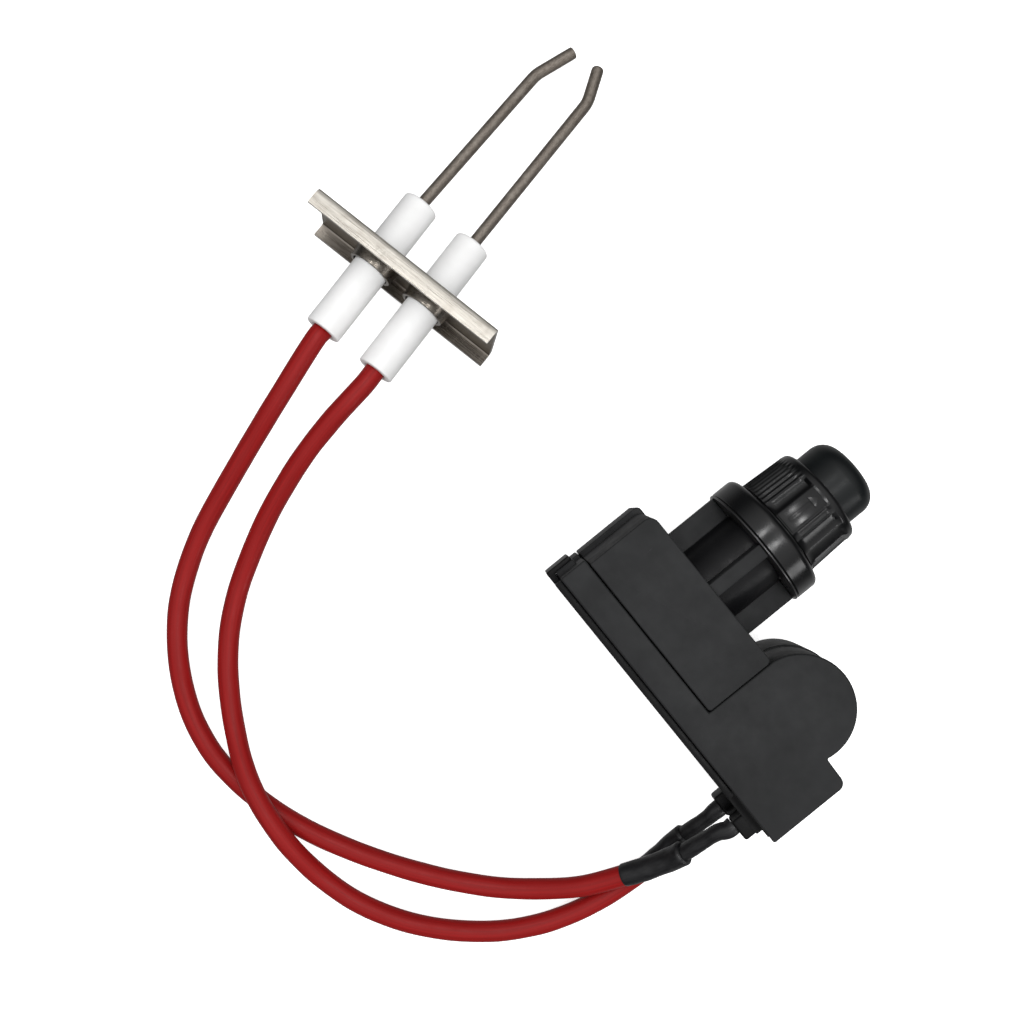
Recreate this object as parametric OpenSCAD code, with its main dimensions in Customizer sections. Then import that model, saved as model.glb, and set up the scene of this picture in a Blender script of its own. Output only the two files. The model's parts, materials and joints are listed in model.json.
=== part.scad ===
// Battery pulse igniter with two spark electrodes, their mounting bracket and two high-voltage leads.
// The igniter case lies on its broad side on z = 0, with its threaded neck pointing along +Y.
// The origin is on the resting face, straight below the neck's axis and midway across the case.

/* [Case] */
// Length of the case along X
case_l = 59.2; // [58.8:0.1:59.6]
// Distance from the neck's axis to the near end of the case's lower half
case_end = 19; // [18.8:0.1:19.2]
// Width of the case along Y, without the base cover
case_w = 19; // [19:0.2:20]
// Thickness of the two shells together
case_h = 24.6; // [24.2:0.1:24.8]
// Thickness of the battery block, which stands slightly proud of the shells
block_h = 25; // [24.8:0.1:25.6]
// Wall thickness of the shells
wall = 1.6; // [1.2:0.1:1.8]
// How far the front shell steps back at the near end, over the lower half
shell_step = 0.8; // [0.6:0.1:1]
// How far the upper half of the battery block steps back there
block_step = 1.3; // [1.1:0.1:1.5]
// Outer radius of the round coil housing
lobe_r = 9.5; // [9:0.05:9.5]
// Thickness of the base cover
cover_t = 1.4; // [1.2:0.1:1.8]
// Width of the open joint line between mouldings
seam = 0.2; // [0.1:0.05:0.3]

/* [Neck] */
// Diameter of the neck's tube, over the thread
neck_d = 15; // [14.8:0.1:15.2]
// Diameter over the four fins
fin_d = 22.9; // [22:0.1:23.4]
// Thickness of one fin
fin_t = 2.6; // [2:0.1:3]
// Length of the fins in front of the case
fin_l = 11.4; // [11:0.1:12]
// Length of the thread in front of the fins
thread_l = 7.1; // [6.8:0.1:7.1]
// Bore of the battery tube
cell_bore_d = 11.2; // [11:0.1:11.4]

/* [Cap] */
// Diameter of the collar and the seal washer
collar_d = 23.9; // [23.4:0.1:24.4]
// Height of the collar
collar_l = 4.6; // [4.2:0.1:5]
// Diameter of the grip at the collar
grip_d = 19.6; // [19.2:0.1:19.8]
// Diameter of the grip at its outer end
grip_tip_d = 18.6; // [18.4:0.1:19]
// Height of the whole cap
cap_l = 15.2; // [15:0.1:15.6]
// Lead of the cap's thread, the rise in one turn
thread_pitch = 2.2; // [2:0.1:2.2]

/* [Button] */
// Diameter of the push button
button_d = 14.7; // [14.4:0.1:14.8]
// Height of the button above the cap
button_out = 7.4; // [7.2:0.1:7.8]
// Travel of the button
button_travel = 2; // [1.5:0.1:2]
// Radius of the button's rounded rim
button_round = 3.4; // [2.5:0.1:3.8]

/* [Battery] */
// Diameter of the cell
cell_d = 10.5; // [10.1:0.1:10.5]
// Length of the cell with its terminal
cell_l = 44.5; // [44:0.1:44.5]

/* [Electrodes] */
// Diameter of the electrode rods
rod_d = 2.3; // [2:0.1:2.3]
// Distance between the two electrodes
pair_pitch = 12; // [11.6:0.1:12.4]
// Length of the insulators
ceramic_l = 30; // [29.6:0.1:31]
// Diameter of the insulators
ceramic_d = 7; // [6.8:0.1:7.2]
// Length of the insulator in front of the bracket
ceramic_front = 11.7; // [11.5:0.1:12.5]
// Small turn of both insulators in their holes
pair_skew = 1.2; // [0:0.1:1.2]
// Distance from the bracket to the bend of the longer rod
rod_straight = 45.9; // [45.6:0.1:46.4]
// How much sooner the other rod bends
straight_difference = 1.7; // [1.2:0.1:1.8]
// Length of the longer rod's bent end
rod_leg = 6.1; // [6:0.1:6.4]
// Bend of the longer rod towards the other
rod_bend = 20.5; // [19.5:0.5:21]
// How much less the other rod is bent
bend_difference = 3.2; // [2.6:0.1:3.6]

/* [Bracket] */
// Length of the bracket
bracket_l = 40.2; // [39.6:0.1:41]
// Height of the bracket's web
bracket_h = 18.4; // [18:0.1:18.8]
// Depth of the bracket's two flanges
flange_w = 3.4; // [3:0.1:3.6]
// Sheet thickness
sheet_t = 0.8; // [0.6:0.1:1]
// Distance between the two screw holes
hole_pitch = 32; // [31:0.5:32.5]
// Diameter of the screw holes
hole_d = 4.2; // [4:0.1:4.4]

/* [Leads] */
// Diameter of the silicone leads
lead_d = 3.9; // [3.6:0.1:3.9]
// Diameter of the heat-shrink sleeves over the splices
splice_d = 4.4; // [4.2:0.1:4.4]
// Diameter of the thin sleeves at the case
tail_d = 3.2; // [3:0.1:3.2]

/* [Hidden] */
$fn = 48;

// The neck's axis runs along Y at half the block's thickness.
axis_z = block_h / 2;
back_y = -case_w / 2;
front_y = case_w / 2;
cover_y = back_y - cover_t;
fin_y = front_y + fin_l;
neck_y = fin_y + thread_l;
washer_t = 0.46;
gap = 0.02;
cap_y = fin_y + washer_t + 2 * gap;
cap_top = cap_y + cap_l;
button_top = cap_top + button_out;

// The battery block takes the near part of the case, and the coil housing the far part.
block_x1 = 15.55;
block_y0 = -3.95;
shell_x0 = block_x1 + seam;
case_x0 = -case_end;
case_x1 = case_x0 + case_l;
front_x0 = case_x0 + shell_step;
split_z = case_h / 2;
lobe_x = shell_x0 + lobe_r;
lobe_y = 8.6;
lobe_x1 = lobe_x + lobe_r;
foot_y = 6.5;
foot_round = 1.5;

// The posts carry the two outputs, one above the other in height.
post_w = 4.2;
post_h = 4.6;
post_y = back_y - 3.6;
post_a = [33.4, 8.5];
post_b = [36.5, 16.5];
pin_d = 1.4;
board_t = 1.6;
board_y = back_y + 0.6;
board_front = board_y + board_t;

// The cell rests on its spring and stops short of the button's contact by a little over the travel.
cell_y0 = -5.3;
cell_end = cell_y0 + cell_l;
disc_t = 0.5;
disc_y = cell_end + button_travel + 0.2;
plate_t = 0.5;
button_r = button_d / 2;
flange_top = cap_top - 1.8;
flange_y = flange_top - 2.2;
spring_gap = 0.05;

// Electrode block: its own +Y runs from the leads to the tips. It leans about the lower fold of the
// bracket until the tips of the rods touch the surface.
bend_r = 1;
rod_turn_r = 7;
tip_reach = rod_straight + rod_turn_r * sin(rod_bend) + rod_leg * cos(rod_bend);
fold_drop = bracket_h / 2 - bend_r;
lean_rise = fold_drop - rod_d / 2;
lean_run = tip_reach + bend_r;
lean = acos(-bend_r / norm([lean_rise, lean_run])) - atan2(lean_run, lean_rise);
block_yaw = 13.2;
block_pos = [-78.3, 4.2, fold_drop * cos(lean) - bend_r * sin(lean) + bend_r];
ceramic_back = ceramic_l - ceramic_front;
lead_in = 2;
collar_h = 3.3;
collar_r = 4.3;

// Unit vectors of the electrode block, and a point at u along the axis of the insulator on one side.
block_u = [-sin(block_yaw) * cos(lean), cos(block_yaw) * cos(lean), -sin(lean)];
block_v = [cos(block_yaw), sin(block_yaw), 0];
function on_insulator(u, side) = block_pos + u * cos(pair_skew) * block_u
    + (side * pair_pitch / 2 - u * sin(pair_skew)) * block_v;

// Lead A runs from the inner post to the right-hand insulator, and lead B from the outer post to the other.
route_a = concat([
    [34.9, -24.6, 3.9], [35.3, -27.6, 3], [35.6, -31.4, 2.3], [35.5, -35.4, 2], [34.8, -41.6, 2],
    [33.3, -48.2, 2], [30.7, -54.8, 2], [26.8, -61.3, 2], [21.4, -67.5, 2], [14.8, -73.1, 2], [6.8, -77.5, 2],
    [-1.3, -79.7, 2.8], [-9.2, -80.1, 4.9], [-16, -79.6, 6.1], [-22.5, -78.6, 5.9], [-27.7, -77.2, 4.7],
    [-33, -75.1, 3.1], [-38.6, -72.1, 2.2], [-44, -68.3, 2], [-49, -63.7, 2], [-53.5, -58, 2.3],
    [-57, -51.8, 3.5], [-60.2, -45, 5.4], [-62.7, -37.8, 7.8], [-64.6, -30.9, 9.9], [-65.8, -24.6, 11.3],
    [-66.5, -19.8, 12.1]],
    [for (u = [3, 0, -lead_in]) on_insulator(-ceramic_back - u, 1)]);
route_b = concat([
    [35, -26, 10.4], [34.4, -29.6, 8.5], [33, -35, 6.3], [30, -42.6, 4.7], [25.6, -49.6, 3],
    [20.3, -55.9, 2.2], [14, -61.6, 2], [7, -66.8, 2], [0, -71.3, 2], [-7.7, -75.4, 2], [-15, -78.4, 2],
    [-22, -80.3, 2], [-27.5, -81.1, 2], [-33, -81.2, 2], [-39, -80.2, 2], [-44.7, -78.2, 2],
    [-50.1, -75.3, 2], [-54.9, -71.8, 2], [-59.2, -67.6, 2], [-63.2, -62.1, 2.2], [-66.6, -55.5, 3.4],
    [-69.5, -47.4, 5.5], [-72.3, -38.5, 8.2], [-75, -29.6, 10.8]],
    [for (u = [3, 0, -lead_in]) on_insulator(-ceramic_back - u, -1)]);
splice_route_a = [[34.4, -21.3, 5.5], [34.8, -24, 4.2], [35.3, -27.6, 3], [35.6, -31.4, 2.3]];
splice_route_b = [[35.2, -23.2, 12], [35, -26, 10.4], [34.4, -29.6, 8.5], [33, -35, 6.3]];
tail_route_a = [[33.8, post_y, 8.5], [33.8, -14.4, 8.5], [34, -16, 8.1], [34.1, -18.4, 7.2], [34.5, -22.2, 5.1]];
tail_route_b = [[35.6, post_y, 16.5], [35.6, -14.4, 16.5], [35, -16.2, 15.9], [35, -19, 14.4], [35.2, -24, 11.6]];

// Turns a shape drawn around Z so that it stands on the neck's axis, from y onwards.
module on_neck(y) {
    translate([0, y, axis_z]) rotate([-90, 0, 0]) children();
}

// A straight tube or rod on the neck's axis.
module neck_rod(y, r, l) {
    on_neck(y) cylinder(r = r, h = l);
}

// Puts a shape into the electrode block's place.
module in_electrode_block() {
    translate(block_pos) rotate([0, 0, block_yaw]) rotate([-lean, 0, 0]) children();
}

// Puts a shape into the place of the insulator on one side, whose axis is the shape's own Y.
module in_insulator(side) {
    in_electrode_block() translate([side * pair_pitch / 2, 0, 0]) rotate([0, 0, pair_skew]) children();
}

// Sweeps one tube of the given sides along a route, with a ring at each of its points.
function unit(v) = v / norm(v);
function tangent(p, i) = unit(p[min(i + 1, len(p) - 1)] - p[max(i - 1, 0)]);
function ring(p, i, r, sides) =
    let (t = tangent(p, i), s = unit(cross(t, [0, 0, 1])), n = cross(s, t))
    [for (k = [0:sides - 1]) p[i] + r * cos(360 * (k + 0.5) / sides) * s + r * sin(360 * (k + 0.5) / sides) * n];
module swept_tube(p, d, sides = 8) {
    last = len(p) - 1;
    points = [for (i = [0:last]) each ring(p, i, d / 2, sides)];
    side_faces = [for (i = [0:last - 1], k = [0:sides - 1])
        let (a = i * sides + k, b = i * sides + (k + 1) % sides) [a, b, b + sides, a + sides]];
    start_face = [[for (k = [sides - 1:-1:0]) k]];
    end_face = [[for (k = [0:sides - 1]) last * sides + k]];
    polyhedron(points, concat(side_faces, start_face, end_face));
}

// A coil spring of round wire around Z, its turns worked out along a helix.
module coil_spring(r0, r1, wire, h, turns) {
    steps = turns * 14;
    helix = [for (i = [0:steps]) let (f = i / steps, r = r0 + (r1 - r0) * f, a = 360 * turns * f)
        [r * cos(a), r * sin(a), wire / 2 + (h - wire) * f]];
    swept_tube(helix, wire, 6);
}

// Outline of the case around the coil housing, the foot and the strip beside the battery block, from x0.
// With an inset it is the room inside the walls, open towards the block and the base cover.
module case_outline(x0, inset) {
    open = inset > 0 ? 1 : 0;
    strip_y = block_y0 - seam;
    translate([x0 + inset, back_y - open])
        square([case_x1 - x0 - 2 * inset, strip_y - back_y + 2 * open]);
    translate([shell_x0 - open, back_y - open])
        square([lobe_x1 - inset - shell_x0 + open, lobe_y - back_y + open]);
    translate([lobe_x, lobe_y]) circle(r = lobe_r - inset);
    translate([lobe_x, back_y - open]) difference() {
        square([case_x1 - inset - lobe_x, foot_y - inset - back_y + open]);
        if (inset == 0) translate([case_x1 - lobe_x - foot_round, foot_y - back_y - foot_round])
            difference() {
                square(foot_round + 1);
                circle(r = foot_round);
            }
    }
}

// One half shell: a broad face and a rim that stops at the joint line.
module half_shell(x0, z, floor_z) {
    h = split_z - seam / 2;
    difference() {
        translate([0, 0, z]) linear_extrude(h) case_outline(x0, 0);
        translate([0, 0, floor_z]) linear_extrude(h) case_outline(x0, wall);
    }
}

module front_shell() {
    color("#38393a") half_shell(front_x0, split_z + seam / 2, split_z + seam / 2 - wall);
}

module rear_shell() {
    color("#343536") half_shell(case_x0, 0, wall);
}

// Battery block with the finned neck, moulded as one piece around the battery tube.
module battery_body() {
    color("#303132") difference() {
        union() {
            translate([case_x0, block_y0, 0]) cube([block_x1 - case_x0, front_y - block_y0, split_z]);
            translate([case_x0 + block_step, block_y0, 0])
                cube([block_x1 - case_x0 - block_step, front_y - block_y0, block_h]);
            neck_rod(back_y + 0.1, 6.5, front_y - back_y);
            neck_rod(front_y - 1, neck_d / 2, neck_y - front_y + 1);
            intersection() {
                neck_rod(front_y - 1, fin_d / 2, fin_l + 1);
                union() {
                    translate([-fin_d / 2, front_y - 1, axis_z - fin_t / 2]) cube([fin_d, fin_l + 1, fin_t]);
                    translate([-fin_t / 2, front_y - 1, axis_z - fin_d / 2]) cube([fin_t, fin_l + 1, fin_d]);
                }
            }
        }
        neck_rod(back_y - 1, cell_bore_d / 2, neck_y - back_y + 2);
        translate([5, back_y - 1, axis_z - 1.7]) cube([1.8, neck_y - back_y + 2, 3.4]);
    }
}

// Base cover with a latch plate around its near end, cut down at the far end and open for each post.
module base_cover() {
    z0 = 1.2;
    z1 = case_h - 1.4;
    latch_z0 = 7;
    latch_h = 11;
    latch_x0 = case_x0 - 1.2;
    end_x = post_b[0] + post_w / 2 + 0.1;
    color("#26272a") difference() {
        union() {
            translate([front_x0 + 0.2, cover_y, z0]) cube([end_x - front_x0 - 0.2, cover_t - gap, z1 - z0]);
            translate([latch_x0, cover_y, latch_z0]) cube([3, cover_t - gap, latch_h]);
            translate([latch_x0, cover_y, latch_z0]) cube([1.15, 5.1, latch_h]);
        }
        translate([post_a[0] - post_w / 2 - 1.6, cover_y - 1, post_b[1] + post_h / 2 + 0.3])
            cube([post_w + 8, cover_t + 2, case_h]);
        for (p = [post_a, post_b])
            translate([p[0] - post_w / 2 - gap, cover_y - 1, p[1] - post_h / 2 - gap])
                cube([post_w + 2 * gap, cover_t + 2, post_h + 2 * gap]);
    }
}

// Square boot around one output, bored for its pin.
module lead_post(p) {
    color("#1f2022") difference() {
        translate([p[0] - post_w / 2, post_y, p[1] - post_h / 2]) cube([post_w, back_y - gap - post_y, post_h]);
        translate([p[0], post_y + 0.8, p[1]]) rotate([-90, 0, 0]) cylinder(d = pin_d + 0.1, h = 6);
    }
}

module lead_post_a() { lead_post(post_a); }
module lead_post_b() { lead_post(post_b); }

// Both output pins, standing on the board and ending inside the posts.
module output_pins() {
    color("#c8b070") for (p = [post_a, post_b])
        translate([p[0], post_y + 1, p[1]]) rotate([-90, 0, 0]) cylinder(d = pin_d, h = board_y - post_y - 1);
}

module circuit_board() {
    color("#b99a56") translate([16.8, board_y, 2.2]) cube([21, board_t, 20.2]);
}

// The high-voltage coil stands in the round housing, its axis along Z.
module ignition_coil_core() {
    color("#4a4a4e") translate([lobe_x, lobe_y, 2.2]) cylinder(r = 2.4, h = case_h - 4.6);
}

module ignition_coil_bobbin() {
    sections = 4;
    z0 = 2.6;
    h = case_h - 5.4;
    color("#e8e2d0") translate([lobe_x, lobe_y, z0]) difference() {
        union() {
            cylinder(r = 3.6, h = h);
            for (i = [0:sections]) translate([0, 0, i * (h - 0.8) / sections]) cylinder(r = 7.2, h = 0.8);
        }
        translate([0, 0, -1]) cylinder(r = 2.45, h = h + 2);
    }
}

module ignition_coil_winding() {
    sections = 4;
    z0 = 2.6;
    pitch = (case_h - 5.4 - 0.8) / sections;
    color("#b5602a") for (i = [0:sections - 1])
        translate([lobe_x, lobe_y, z0 + i * pitch + 0.84]) difference() {
            cylinder(r = 6.6, h = pitch - 0.88);
            translate([0, 0, -1]) cylinder(r = 3.65, h = pitch + 2);
        }
}

// Thin insulating card between the coil and the rear shell.
module coil_lid() {
    color("#d8d0b8") translate([lobe_x, lobe_y, wall + 0.05]) cylinder(r = 7.4, h = 0.4);
}

module inverter_core() {
    color("#3c3c40") translate([17.2, board_front, 13.4]) difference() {
        cube([7.6, 5.4, 8.4]);
        translate([1.4, -1, 1.6]) cube([4.8, 8, 5.2]);
    }
}

module inverter_winding() {
    color("#c07838") translate([18.75, board_front + 0.1, 15.1]) cube([4.5, 5.2, 4.9]);
}

module storage_capacitor() {
    color("#a8442a") translate([17.4, board_front, 3.2]) cube([7.6, 3.6, 8.4]);
}

module thyristor() {
    color("#202020") translate([27.2, board_front, 11.4]) cube([4.4, 3.4, 4.2]);
}

// Resistors and diodes lie in two rows on the board.
module small_components() {
    color("#c9a36a") for (i = [0:2], j = [0:1])
        translate([26.4 + 3.6 * i, board_front + 1, 3.4 + 14 * j]) cylinder(r = 0.9, h = 4);
}

module battery_cell() {
    color("#b8b8bc") {
        neck_rod(cell_y0, cell_d / 2, cell_l - 1);
        neck_rod(cell_end - 1.01, 1.9, 1.01);
    }
}

module negative_contact() {
    color("#c8c8c4") neck_rod(back_y + gap, 5, plate_t);
}

module battery_spring() {
    y = back_y + gap + plate_t;
    color("#d0d0d0") on_neck(y) coil_spring(4.4, 2.6, 0.6, cell_y0 - y - spring_gap, 3);
}

// Flat contact strip in the groove of the battery tube, from the board side to the neck's rim.
module positive_strip() {
    color("#c8a860") translate([6.1, back_y + 0.2, axis_z - 1.5]) cube([0.4, neck_y - back_y - 0.4, 3]);
}

module seal_washer() {
    color("#2a2a2c") difference() {
        neck_rod(fin_y + gap, collar_d / 2, washer_t);
        neck_rod(fin_y - 1, neck_d / 2 + 0.4, washer_t + 2);
    }
}

// Screw cap: a smooth collar under a grip, bored for the neck and, at the top, for the button.
module cap_nut() {
    bore_r = neck_d / 2 + 0.3;
    groove_y = cap_y + collar_l;
    grip_y = groove_y + 0.5;
    band_l = 2.6;
    ribs = 30;
    color("#161719") difference() {
        union() {
            neck_rod(cap_y, collar_d / 2, collar_l);
            neck_rod(cap_y, grip_d / 2 - 0.5, collar_l + 1);
            on_neck(grip_y) cylinder(d1 = grip_d, d2 = grip_tip_d, h = cap_top - grip_y);
        }
        neck_rod(cap_y - 1, bore_r, neck_y - cap_y + 2);
        neck_rod(neck_y, bore_r + 0.5, flange_top + 0.2 - neck_y);
        neck_rod(neck_y, button_r + 0.07, cap_top - neck_y + 1);
        for (k = [0:ribs - 1]) on_neck(grip_y - 0.1) rotate([0, 0, 360 * k / ribs])
            translate([grip_d / 2 - 0.35, -0.35, 0]) cube([2, 0.7, cap_top - band_l - grip_y]);
    }
}

// Hollow button with a rounded rim and a flange that keeps it in the cap.
module push_button() {
    h = button_top - flange_y;
    color("#232526") on_neck(flange_y) difference() {
        rotate_extrude() union() {
            square([button_r, h - button_round]);
            square([button_r - button_round, h]);
            intersection() {
                translate([button_r - button_round, h - button_round]) circle(r = button_round);
                square([button_r, h]);
            }
            square([button_r + 0.65, flange_top - flange_y]);
        }
        translate([0, 0, -1]) cylinder(r = 5.6, h = disc_y + disc_t - flange_y + 1);
    }
}

module button_spring() {
    color("#d0d0d0") on_neck(neck_y + spring_gap)
        coil_spring(6.6, 6.6, 0.6, flange_y - neck_y - 2 * spring_gap, 3);
}

module contact_disc() {
    color("#d2aa4e") neck_rod(disc_y, 5.5, disc_t);
}

module lead_a() { color("#a5181c") swept_tube(route_a, lead_d); }
module lead_b() { color("#a5181c") swept_tube(route_b, lead_d); }
module splice_sleeve_a() { color("#1c1c1e") swept_tube(splice_route_a, splice_d, 12); }
module splice_sleeve_b() { color("#1c1c1e") swept_tube(splice_route_b, splice_d, 12); }
module tail_sleeve_a() { color("#1c1c1e") swept_tube(tail_route_a, tail_d); }
module tail_sleeve_b() { color("#1c1c1e") swept_tube(tail_route_b, tail_d); }

// Folded channel with two screw holes and a drawn collar around each insulator.
module bracket() {
    inner_r = bend_r - sheet_t;
    color("#a8a49c") in_electrode_block() difference() {
        union() {
            rotate([90, 0, 90]) translate([0, 0, -bracket_l / 2]) linear_extrude(bracket_l) {
                translate([-sheet_t, bend_r - bracket_h / 2]) square([sheet_t, bracket_h - 2 * bend_r]);
                for (side = [0, 1]) mirror([0, side]) {
                    translate([-flange_w, bracket_h / 2 - sheet_t]) square([flange_w - bend_r, sheet_t]);
                    translate([-bend_r, bracket_h / 2 - bend_r]) intersection() {
                        difference() {
                            circle(r = bend_r);
                            circle(r = inner_r);
                        }
                        square(bend_r);
                    }
                }
            }
            for (side = [-1, 1]) translate([side * pair_pitch / 2, -sheet_t + gap, 0])
                rotate([90, 0, 0]) cylinder(r = collar_r, h = collar_h);
        }
        for (side = [-1, 1]) translate([side * pair_pitch / 2, 1, 0])
            rotate([90, 0, 0]) cylinder(d = ceramic_d + 0.1, h = collar_h + 4);
        for (side = [-1, 1]) translate([side * hole_pitch / 2, 1, 0])
            rotate([90, 0, 0]) cylinder(d = hole_d, h = 4);
    }
}

// Ceramic tube: a fine bore for the rod, opened out at the back for the crimp and the lead.
module insulator(side) {
    chamfer = 0.3;
    color("#f4f2ee") in_insulator(side) translate([0, -ceramic_back, 0])
        rotate([-90, 0, 0]) difference() {
            union() {
                cylinder(d1 = ceramic_d - 2 * chamfer, d2 = ceramic_d, h = chamfer);
                translate([0, 0, chamfer]) cylinder(d = ceramic_d, h = ceramic_l - 2 * chamfer);
                translate([0, 0, ceramic_l - chamfer])
                    cylinder(d1 = ceramic_d, d2 = ceramic_d - 2 * chamfer, h = chamfer);
            }
            translate([0, 0, -1]) cylinder(d = rod_d + 0.1, h = ceramic_l + 2);
            translate([0, 0, -1]) cylinder(d = lead_d + 0.2, h = 11);
        }
}

module insulator_a() { insulator(1); }
module insulator_b() { insulator(-1); }

// Spark rod: straight through the insulator, turned a little by toe, with a short bent end.
module electrode(side, toe, straight, bend, leg) {
    steps = 4;
    start = [0, -ceramic_back + lead_in + 2, 0];
    front = [0, ceramic_front, 0];
    along = [-side * sin(toe), cos(toe), 0];
    inward = [-side * cos(toe), -sin(toe), 0];
    turn_start = front + (straight - ceramic_front) * along;
    arc = [for (i = [0:steps]) let (a = bend * i / steps)
        turn_start + rod_turn_r * (sin(a) * along + (1 - cos(a)) * inward)];
    tip = arc[steps] + leg * (cos(bend) * along + sin(bend) * inward);
    color("#73695f") in_insulator(side)
        swept_tube(concat([start, front], arc, [tip]), rod_d, 16);
}

module electrode_a() { electrode(1, -1.1, rod_straight, rod_bend, rod_leg); }
module electrode_b() {
    electrode(-1, 3, rod_straight - straight_difference, rod_bend - bend_difference, rod_leg + 1.4);
}

// Crimped barrel that joins a rod to its lead inside the insulator.
module crimp(side) {
    color("#c8c8c4") in_insulator(side) translate([0, -ceramic_back + lead_in + 0.1, 0])
        rotate([-90, 0, 0]) difference() {
            cylinder(r = 1.7, h = 6);
            translate([0, 0, 1.85]) cylinder(d = rod_d + 0.04, h = 6);
        }
}

module crimp_a() { crimp(1); }
module crimp_b() { crimp(-1); }

front_shell();
rear_shell();
battery_body();
base_cover();
lead_post_a();
lead_post_b();
output_pins();
circuit_board();
ignition_coil_core();
ignition_coil_bobbin();
ignition_coil_winding();
coil_lid();
inverter_core();
inverter_winding();
storage_capacitor();
thyristor();
small_components();
battery_cell();
battery_spring();
negative_contact();
positive_strip();
seal_washer();
cap_nut();
push_button();
button_spring();
contact_disc();
lead_a();
lead_b();
splice_sleeve_a();
splice_sleeve_b();
tail_sleeve_a();
tail_sleeve_b();
bracket();
insulator_a();
insulator_b();
electrode_a();
electrode_b();
crimp_a();
crimp_b();
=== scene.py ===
import json
import math

import bmesh
import bpy
from mathutils import Matrix, Vector, noise


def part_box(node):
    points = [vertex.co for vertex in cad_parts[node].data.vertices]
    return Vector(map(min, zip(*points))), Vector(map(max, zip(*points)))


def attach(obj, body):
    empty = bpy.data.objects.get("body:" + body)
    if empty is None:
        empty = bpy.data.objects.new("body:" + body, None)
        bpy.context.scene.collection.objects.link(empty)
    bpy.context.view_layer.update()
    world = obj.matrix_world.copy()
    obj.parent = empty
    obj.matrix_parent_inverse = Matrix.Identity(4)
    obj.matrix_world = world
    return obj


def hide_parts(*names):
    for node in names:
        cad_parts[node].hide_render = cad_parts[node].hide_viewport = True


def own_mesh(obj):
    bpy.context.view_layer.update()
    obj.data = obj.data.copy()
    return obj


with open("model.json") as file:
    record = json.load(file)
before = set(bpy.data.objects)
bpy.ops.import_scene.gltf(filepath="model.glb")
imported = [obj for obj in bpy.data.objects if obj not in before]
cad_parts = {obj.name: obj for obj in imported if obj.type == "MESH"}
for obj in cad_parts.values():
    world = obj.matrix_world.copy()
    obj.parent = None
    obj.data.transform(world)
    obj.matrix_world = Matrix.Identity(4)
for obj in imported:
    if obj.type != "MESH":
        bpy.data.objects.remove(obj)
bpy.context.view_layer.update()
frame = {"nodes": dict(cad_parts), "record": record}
MM = 0.001
MOUNTS = {m["name"]: m for m in frame["record"]["mounts"]}


def mm(*values):
    """Millimetres to a point in metres."""
    return Vector(values) * MM


# ---------------------------------------------------------------- places, from the frame

case_lo, case_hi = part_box("rear_shell")
front_lo, front_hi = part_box("front_shell")
block_lo, block_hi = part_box("battery_body")
cap_lo, cap_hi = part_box("cap_nut")
button_lo, button_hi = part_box("push_button")
washer_lo, washer_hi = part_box("seal_washer")
cover_lo, cover_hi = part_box("base_cover")
LOW_BOOT, HIGH_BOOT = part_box("lead_post_a"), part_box("lead_post_b")

NECK_Z = (cap_lo.z + cap_hi.z) / 2
FIN_END = washer_lo.y
NECK_END = block_hi.y
FRONT_Y = -case_lo.y
FLANGE_TOP = cap_hi.y - 1.8 * MM
DISC_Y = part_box("contact_disc")[0].y
COLLAR_R = (cap_hi.x - cap_lo.x) / 2

# Round parts on the neck's axis.
NECK_R = 7.15 * MM
NECK_FOOT_R = 7.5 * MM
CELL_BORE_R = 5.6 * MM
CAP_BORE_R = 7.8 * MM
SPRING_R = 6.6 * MM

# The electrode block's own frame: X across the pair, Y towards the tips, Z up the web.
hole_a, hole_b = (Vector(MOUNTS[n]["pos_m"]) for n in ("bracket_hole_a", "bracket_hole_b"))
forward = -Vector(MOUNTS["bracket_hole_a"]["axis"]).normalized()
across = (hole_a - hole_b).normalized()
upward = across.cross(forward)
SHEET_T = MOUNTS["bracket_hole_a"]["dims"]["length_mm"] * MM
HOLE_X = (hole_a - hole_b).length / 2
web_front = (hole_a + hole_b) / 2 + forward * SHEET_T / 2
BLOCK = Matrix.Translation(web_front) @ Matrix((across, forward, upward)).transposed().to_4x4()

PAIR_X = 6 * MM
PAIR_SKEW = math.radians(1.2)
CERAMIC_BACK = -18.3 * MM
CERAMIC_FRONT = 11.7 * MM
CERAMIC_R = 3.5 * MM
CERAMIC_HOLE_R = CERAMIC_R + 0.4 * MM
SCREW_HOLE_R = MOUNTS["bracket_hole_a"]["dims"]["r_mm"] * MM
ROD_R = 1.15 * MM
ROD_TURN_R = 7 * MM


def on_insulator(side):
    """Frame of one insulator: its axis is Y, turned a little in its hole."""
    return BLOCK @ Matrix.Translation((side * PAIR_X, 0, 0)) @ Matrix.Rotation(PAIR_SKEW, 4, "Z")


# ---------------------------------------------------------------- camera and stage

def make_camera():
    height = 250 * MM
    data = bpy.data.cameras.new("camera")
    data.sensor_width = 36
    data.lens = 46.2
    data.clip_start = 0.01
    camera = bpy.data.objects.new("camera", data)
    bpy.context.scene.collection.objects.link(camera)
    camera.location = (-32.4 * MM, -8.7 * MM, height)
    camera.rotation_euler = (0, 0, math.radians(51.0))
    bpy.context.scene.camera = camera


make_camera()


# ---------------------------------------------------------------- mesh helpers

def add_object(name, verts, faces, smooth_angle=35):
    """A new mesh object in the scene, with its normals outward."""
    mesh = bpy.data.meshes.new(name)
    mesh.from_pydata([tuple(v) for v in verts], [], faces)
    obj = bpy.data.objects.new(name, mesh)
    bpy.context.scene.collection.objects.link(obj)
    tidy_mesh(obj, smooth_angle)
    return obj


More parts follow.
